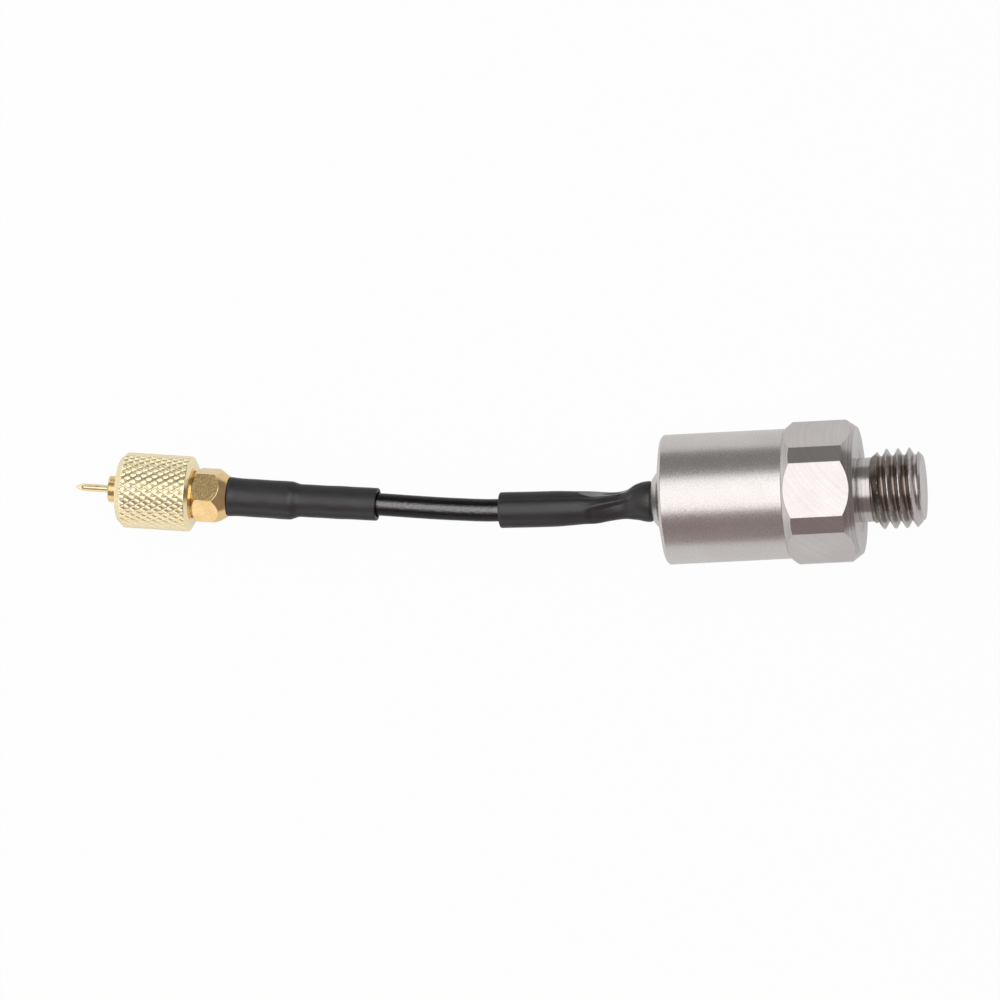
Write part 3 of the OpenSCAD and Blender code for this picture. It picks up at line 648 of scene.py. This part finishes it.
sleeve_s = np.linspace(0, sensor_sleeve_len, sleeve_rings)
sleeve_r, pressed_share = sleeve_radius(sleeve_s[:, None], sleeve_phi)
sleeve_skin = swept(along_route(sleeve_s), sleeve_phi, sleeve_r)
bore_s = np.array([sensor_sleeve_len, *grip_run, *spigot_step, 0])
bore_r = np.array([tube_bore_r, tube_bore_r, grip_r, grip_r, spigot_fit_r, spigot_fit_r])
bore_line = [part[::-1] for part in along_route(bore_s[::-1])]
bore_skin = swept(bore_line, sleeve_phi, np.repeat(bore_r[:, None], len(sleeve_phi), axis=1))
bore_share = np.zeros((len(bore_s), len(sleeve_phi)))
sensor_tube = skin("sensor_shrink_tube", np.concatenate([sleeve_skin, bore_skin]), sharp=50,
                   loop=True, marks={"pressed": np.vstack([pressed_share, bore_share])})
shrink_black, shrink_tree, shrink_shader = finish(
    "shrink_black", ((0.0048, 0.0045, 0.0055), (0.0085, 0.008, 0.0095)), rough=(0.34, 0.48),
    grains=(5, 10, 10), blotches=0.7, bump=0.004, metallic=0)
shrink_shader.inputs["IOR"].default_value = shrink_ior
press_mark = mark_value(shrink_tree, "pressed")
shrink_shine = facing_shine(shrink_tree, facing=(0.1, 0.45), levels=(0.58, 0.2))
for label, plain_value, pressed_value in (
        ("Specular IOR Level", shrink_shine, pressed_level),
        ("Roughness", source(shrink_shader, "Roughness"), pressed_rough)):
    shrink_tree.links.new(mixed(shrink_tree, press_mark, plain_value, pressed_value),
                          shrink_shader.inputs[label])
dress(sensor_tube, "sensor_sleeve", shrink_black)

# The plug's body: crimp barrel, hexagon, the shaft that the nut turns on, and the nose, turned from
# brass in one piece and gold-plated. The crimp ferrule, inside the sleeve, holds the braid on its
# barrel.
nut_joint = frame["joints"][0]
plug_axis, plug_side, plug_up = squared(np.array(nut_joint["axis"], float))
nut_z = 2.85
nut_len = 6.0
plug_root = np.array(nut_joint["pos_m"]) / mm - (nut_z + nut_len / 2) * plug_axis
plug_place = (plug_root, plug_axis, plug_side, plug_up)
barrel_len = 4.4
plug_flat_half = 1.95
plug_corner_r = plug_flat_half / np.cos(np.pi / 6)
hex_end_r = 1.6
hex_taper = 1.0
hex_len = 2.75
hex_face_r = 1.88
shaft_r = 1.83
groove_z = 4.25
groove_end = groove_z + 0.5
groove_wall = 0.05
groove_r = 1.56
shaft_z = 5.1
nose_r = 1.05
nose_z = 9.75
nose_bore_r = 0.75
core_bore_r = 0.37
plug_faces = np.radians(106 + 60 * np.arange(6))
plug_steps = 24
plug_phi = gathered(plug_faces + np.pi / 6, plug_steps)
plug_bar_r = bar_radius(plug_phi, plug_faces, np.full(6, plug_flat_half))
plug_rows = eased([
    (-barrel_len, core_bore_r, 0), (-barrel_len, cable_r, 0), (0, cable_r, 0), (0, hex_end_r, 0.03),
    (hex_taper * (plug_bar_r - hex_end_r) / (plug_corner_r - hex_end_r), plug_bar_r, 0.03),
    (hex_len - (plug_bar_r - hex_face_r), plug_bar_r, 0.03), (hex_len, hex_face_r, 0),
    (hex_len, shaft_r, 0), (groove_z + groove_wall, shaft_r, 0),
    (groove_z + groove_wall, groove_r, 0), (groove_end - groove_wall, groove_r, 0),
    (groove_end - groove_wall, shaft_r, 0),
    (shaft_z, shaft_r, 0.05), (shaft_z, nose_r, 0), (nose_z, nose_r, 0.08),
    (nose_z, nose_bore_r, 0.05), (nut_z, nose_bore_r, 0), (nut_z, core_bore_r, 0),
], len(plug_phi))
plug_form = skin("gilt_plug_body", turned(plug_rows, plug_phi, plug_place), loop=True)
plug_gold, *_ = finish("plug_gold", ((0.83, 0.59, 0.26), (0.92, 0.70, 0.36)), rough=(0.12, 0.24),
                       grains=(7, 7, 7), blotches=1.2, bump=0.0035)
dress(plug_form, "plug_body", plug_gold)
finish_inside({
    "crimp_ferrule": ("ferrule_gold", ((0.86, 0.64, 0.28), (0.92, 0.70, 0.34)),
                      (0.2, 0.3), (3, 9, 9), 1),
    "plug_core": ("core_copper", *copper_look),
    "retaining_ring": ("ring_steel", spring_tones, (0.2, 0.3), (9, 9, 9), 1),
})

# The centre pin and its insulator: a pointed pin of gold-plated wire in a white fluoroplastic
# sleeve that is pressed into the nose and ends just inside its rim.
pin_r = 0.3
pin_tip_z = 12.55
pin_tip_r = 0.05
pin_middle_r = 0.01
pin_point = 0.55
pin_rear_z = 1.5
pin_rear_r = pin_r - 0.03
pin_phi = round_angles(48)
insulator_fit = 0.02
insulator_z = nose_z - 0.15
pin_rows = eased([
    (pin_rear_z, pin_rear_r, 0), (pin_rear_z, pin_r, 0), (pin_tip_z - pin_point, pin_r, 0.12),
    (pin_tip_z, pin_tip_r, 0.03), (pin_tip_z, pin_middle_r, 0),
])
pin = skin("gilt_pin", turned(pin_rows, pin_phi, plug_place), sharp=40)
pin_gold, *_ = finish("pin_gold", ((0.95, 0.78, 0.45), (1.0, 0.85, 0.55)), rough=(0.14, 0.22),
                      grains=(4, 12, 12), blotches=1, bump=0.0005)
dress(pin, "centre_pin", pin_gold)
insulator_rows = eased([
    (nut_z, pin_r + insulator_fit, 0), (nut_z, nose_bore_r - insulator_fit, 0),
    (insulator_z, nose_bore_r - insulator_fit, 0.03), (insulator_z, pin_r + insulator_fit, 0.03),
])
dielectric = skin("pin_insulator", turned(insulator_rows, pin_phi, plug_place), loop=True)
dielectric_white, *_ = finish("dielectric_white", ((0.78, 0.77, 0.74), (0.86, 0.85, 0.82)),
                              rough=(0.4, 0.5), grains=(6, 6, 6), blotches=1, bump=0.002,
                              metallic=0)
dress(dielectric, "plug_insulator", dielectric_white)

# The sleeve at the plug: the same heat-shrink tube over the ferrule and the cable, stepped where it
# runs off the ferrule's end, with soft waves where it gripped the crimp. It bends a little to
# follow the cable.
plug_sleeve_len = 12.1
plug_sleeve_rings = 200
ferrule_end = -5.16
ferrule_bore_r = 1.31
step_len = 0.6
step_ease = 0.15
full_r = 1.52
tail_r = 1.31
lip_height, lip_z, lip_width = 0.03, -0.2, 0.25
end_ease, end_run = 0.04, 0.06
wave_height = 0.012
step_bend, step_bend_run = 0.06, (4.9, 6.2)
tail_bend, tail_bend_run = 0.08, (6, 13)


def plug_sleeve_radius(z, phi):
    """Outer radius of the plug's sleeve: full over the ferrule, a smooth step down to the tail, a
    small lip at the hexagon and eased ends, plus waves, sin(2.1z + 1.3cos phi)·cos(phi - 0.7z)."""
    step = rise(z, ferrule_end - step_len - step_ease, ferrule_end + step_ease)
    lip = lip_height * hump(z, lip_z, lip_width)
    cut_end = 1 - rise(z, -plug_sleeve_len, end_run - plug_sleeve_len)
    ends = end_ease * (rise(z, -end_run, 0) + cut_end)
    waves = wave_height * np.sin(2.1 * z + 1.3 * np.cos(phi)) * np.cos(phi - 0.7 * z)
    return tail_r + (full_r - tail_r) * step + lip - ends + waves


plug_sleeve_z = np.linspace(-plug_sleeve_len, 0, plug_sleeve_rings)[:, None]
plug_bore_rows = eased([
    (0, ferrule_bore_r, 0), (ferrule_end, ferrule_bore_r, 0),
    (ferrule_end - step_len, tube_bore_r, 0), (-plug_sleeve_len, tube_bore_r, 0),
], len(sleeve_phi))
plug_tube_rows = np.concatenate([
    paired(plug_sleeve_z, plug_sleeve_radius(plug_sleeve_z, sleeve_phi)), plug_bore_rows])
plug_tail = -plug_tube_rows[..., :1]
plug_bend = (step_bend * rise(plug_tail, *step_bend_run)
             + tail_bend * rise(plug_tail, *tail_bend_run))
plug_tube = skin("plug_shrink_tube",
                 turned(plug_tube_rows, sleeve_phi, plug_place) - plug_bend * plug_side,
                 sharp=50, loop=True)
dress(plug_tube, "plug_sleeve", shrink_black)

# The coupling nut: gold-plated brass, turned with a bevelled rear rim and a front chamfer, rolled
# with a diamond knurl, and tapped. A split spring ring in the shaft's groove keeps it on the plug,
# where it turns freely.
knurl_r = 3.0
knurl_depth = 0.045
knurl_starts = 36
knurl_rise = 0.883
knurl_line = 0.03
knurl_flat = 0.22
cell_steps = 12
nut_end = nut_z + nut_len
nut_bore_r = 1.88
nut_groove_r = 2.13
rear_face_r = 2.5
rear_bevel = 0.25
rim_r = 2.95
rim_z = 3.15
front_edge = 0.5
front_gap = 0.1
front_ease = 0.02
socket_pitch = 0.794
socket_bore_r = 2.07
socket_depth = 0.34
socket_gap = 0.2
mouth_r = socket_bore_r + 0.36
nut_phi = round_angles(knurl_starts * cell_steps)


def knurl_radius(z, phi):
    """Radius of the knurl: two sets of helical lines cross, and a smooth step takes a point from
    the full radius on the nearer line down by the depth in its cell. The front chamfer cuts it
    off."""
    turns = phi * knurl_starts / (2 * np.pi)
    climb = (z - rim_z) / knurl_rise
    nearer = np.minimum(from_whole(turns + climb), from_whole(turns - climb))
    full = np.minimum(knurl_r, knurl_r - (z - nut_end + front_edge))
    return full - knurl_depth * rise(nearer, knurl_line, knurl_flat)


def socket_radius(z, phi):
    """Radius of the nut's inner thread: a right-hand helix of straight flanks, 2·depth·(distance to
    the nearest whole turn) beyond the bore."""
    return socket_bore_r + 2 * socket_depth * from_whole(z / socket_pitch - phi / (2 * np.pi))


knurl_z = np.arange(rim_z, nut_end - front_gap, knurl_rise / cell_steps)[:, None]
socket_z = np.arange(nut_end - socket_gap, groove_end, -socket_pitch / cell_steps)[:, None]
rear_rows = eased([
    (nut_z, nut_bore_r, 0), (nut_z, rear_face_r, 0.04), (nut_z + rear_bevel, rim_r, 0.04),
    (rim_z, rim_r, 0),
], len(nut_phi))
front_rows = eased([
    (nut_end - front_ease, knurl_r - front_edge + front_ease, 0),
    (nut_end, knurl_r - front_edge - front_ease, 0), (nut_end, mouth_r, 0),
], len(nut_phi))
back_rows = eased([
    (groove_end, socket_bore_r, 0), (groove_end, nut_groove_r, 0),
    (groove_z, nut_groove_r, 0), (groove_z, nut_bore_r, 0),
], len(nut_phi))
nut_rows = np.concatenate([
    rear_rows, paired(knurl_z, knurl_radius(knurl_z, nut_phi)), front_rows,
    paired(socket_z, socket_radius(socket_z, nut_phi)), back_rows])
nut = skin("gilt_coupling_nut", turned(nut_rows, nut_phi, plug_place), sharp=24, loop=True)
# The nut's tones are much paler than the body's gold. They are the same plating, partly its own
# colour and partly a painted highlight for the stronger light on the knurl.
nut_gold_painted_light, *_ = finish("nut_gold_painted_light", ((1.0, 0.86, 0.53), (1.0, 0.90, 0.61)), rough=(0.16, 0.26),
                      grains=(8, 8, 8), blotches=0.8, bump=0.0008)
dress(nut, "coupling_nut", nut_gold_painted_light, body="nut")

# The floor under the sensor: a wide, plain white sheet that the part lies on. To the camera it
# shines almost white and to mirrors half as much, and the rest of it takes the part's shadow.
floor_z = cad_box[0][2]
floor_half = 1.5
floor_grey = 0.86
camera_share = 0.97
mirror_share = 0.5
floor_mesh = bpy.data.meshes.new("floor")
floor_mesh.from_pydata([(x * floor_half, y * floor_half, floor_z)
                        for x, y in ((-1, -1), (1, -1), (1, 1), (-1, 1))], [], [(0, 1, 2, 3)])
floor = bpy.data.objects.new("floor", floor_mesh)
bpy.context.scene.collection.objects.link(floor)
floor_white = bpy.data.materials.new("floor_white")
floor_white.use_nodes = True
floor_tree = floor_white.node_tree
floor_tree.nodes.remove(floor_tree.nodes["Principled BSDF"])
rays = floor_tree.nodes.new("ShaderNodeLightPath")
mirrored = place_node(floor_tree, "ShaderNodeMath",
                      {0: rays.outputs["Is Glossy Ray"], 1: mirror_share}, operation="MULTIPLY")
seen = place_node(floor_tree, "ShaderNodeMath",
                  {0: rays.outputs["Is Camera Ray"], 1: camera_share}, operation="MULTIPLY")
glow_share = place_node(floor_tree, "ShaderNodeMath",
                        {0: seen.outputs[0], 1: mirrored.outputs[0]}, operation="MAXIMUM")
paper = place_node(floor_tree, "ShaderNodeBsdfDiffuse",
                   {"Color": (floor_grey, floor_grey, floor_grey, 1)})
glow = place_node(floor_tree, "ShaderNodeEmission", {"Color": (1, 1, 1, 1), "Strength": 1})
cover = place_node(floor_tree, "ShaderNodeMixShader",
                   {0: glow_share.outputs[0], 1: paper.outputs[0], 2: glow.outputs[0]})
floor_tree.links.new(cover.outputs[0], floor_tree.nodes["Material Output"].inputs["Surface"])
floor_mesh.materials.append(floor_white)

# The camera looks down on the sensor from a little to the stud's side, turned so that the sensor
# runs slightly uphill to the left, with a long lens.
view_tilt = np.radians(7.6)
view_dip = np.radians(2.3)
view_roll = np.radians(2.55)
view_width = 0.079365
view_target = np.array([-0.028759, 0.000642, 0])
view_back = np.array([np.sin(view_tilt), -np.sin(view_dip), np.cos(view_tilt)])
view_back = view_back / np.linalg.norm(view_back)
view_level = np.cross([0, 1, 0], view_back)
view_level = view_level / np.linalg.norm(view_level)
view_right = (np.cos(view_roll) * view_level
              - np.sin(view_roll) * np.cross(view_back, view_level))
view_axes = np.stack([view_right, np.cross(view_back, view_right), view_back], axis=1)
lens = bpy.data.cameras.new("camera")
lens.lens = 800
lens.sensor_width = 36
lens.clip_start = 0.01
camera = bpy.data.objects.new("camera", lens)
stand = view_target + view_back * view_width * lens.lens / lens.sensor_width
camera.matrix_world = Matrix([*np.column_stack([view_axes, stand]).tolist(), (0, 0, 0, 1)])
bpy.context.scene.collection.objects.link(camera)
bpy.context.scene.camera = camera

# The light: one large oval softbox overhead, a little to the far side, and three white cards that
# shine on the plug from the near side, from the far side and from beyond its end, in a dim grey
# room whose near side is a little redder.
box_distance = 0.5
box_lean = (0.045, 0.114)
box_half = (0.235, 0.35)
box_radiance = 1.38
quarter_turn = np.pi / 2
near_wall = (0.31, 0.25, 0.25, 1)
far_wall = (0.255, 0.25, 0.243, 1)


def add_light(name, shape, spans, energy, place, turn):
    """Hangs an area light at a place, with two sizes in metres and an energy in watts."""
    lamp = bpy.data.lights.new(name, "AREA")
    lamp.shape = shape
    lamp.size, lamp.size_y = spans
    lamp.energy = energy
    light = bpy.data.objects.new(name, lamp)
    light.location = place
    light.rotation_euler = turn
    bpy.context.scene.collection.objects.link(light)


box_aim = Vector((*box_lean, 1)).normalized()
add_light("softbox", "ELLIPSE", (2 * box_half[0], 2 * box_half[1]),
          box_radiance * np.pi * np.pi * box_half[0] * box_half[1],
          Vector(view_target) + box_distance * box_aim, box_aim.to_track_quat("Z", "Y").to_euler())
for card, spans, radiance, place, turn in (
        ("fill_card", (0.09, 0.05), 0.72, (-0.085, -0.1, floor_z + 0.025), (quarter_turn, 0, 0)),
        ("nut_card", (0.055, 0.066), 1.0, (-0.1025, 0.1, floor_z + 0.033), (-quarter_turn, 0, 0)),
        ("end_card", (0.2, 0.5), 0.8, (-0.26, 0, floor_z + 0.1), (0, -quarter_turn, 0))):
    add_light(card, "RECTANGLE", spans, radiance * np.pi * spans[0] * spans[1], place, turn)
room = bpy.data.worlds.new("grey_room")
room.use_nodes = True
room_tree = room.node_tree
room_where = room_tree.nodes.new("ShaderNodeTexCoord")
room_parts = place_node(room_tree, "ShaderNodeSeparateXYZ", {0: room_where.outputs["Generated"]})
room_side = place_node(room_tree, "ShaderNodeMapRange",
                       {"Value": room_parts.outputs["Y"], "From Min": -0.5, "From Max": 0.5})
room_tree.links.new(mixed_colour(room_tree, room_side.outputs[0], near_wall, far_wall),
                    room_tree.nodes["Background"].inputs["Color"])
bpy.context.scene.world = room
bpy.context.scene.view_settings.view_transform = "Standard"
